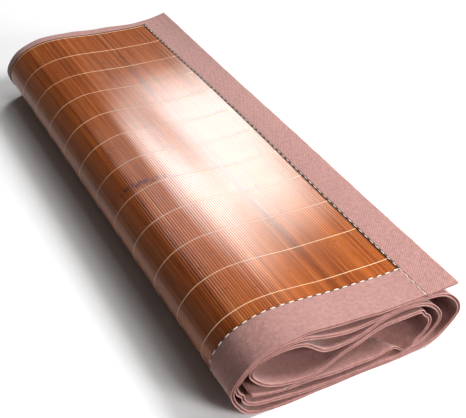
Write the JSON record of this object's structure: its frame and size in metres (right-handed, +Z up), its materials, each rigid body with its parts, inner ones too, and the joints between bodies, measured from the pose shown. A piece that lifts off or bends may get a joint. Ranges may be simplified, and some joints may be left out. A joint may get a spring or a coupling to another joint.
{
  "type": "rolled bamboo mat",
  "caption": "Slatted bamboo sleeping mat with cloth-bound edges, wound loosely into a flattened roll that lies on its side.",
  "frame": {"origin": "middle of the roll's footprint, on the surface it rests on", "axes": "+Y along the roll, from the near wound end to the far one; +Z up; +X towards the free edge on top"},
  "size_m": [0.3327, 0.9, 0.107],
  "materials": {
    "bamboo": "carbonised bamboo slats with a smooth lacquer",
    "binding_cloth": "dusty pink twill"
  },
  "bodies": {
    "root": {"bamboo_panel": "bamboo", "free_edge_strip": "binding_cloth", "near_side_border": "binding_cloth", "far_side_border": "binding_cloth", "inner_edge_strip": "binding_cloth"}
  },
  "joints": []
}
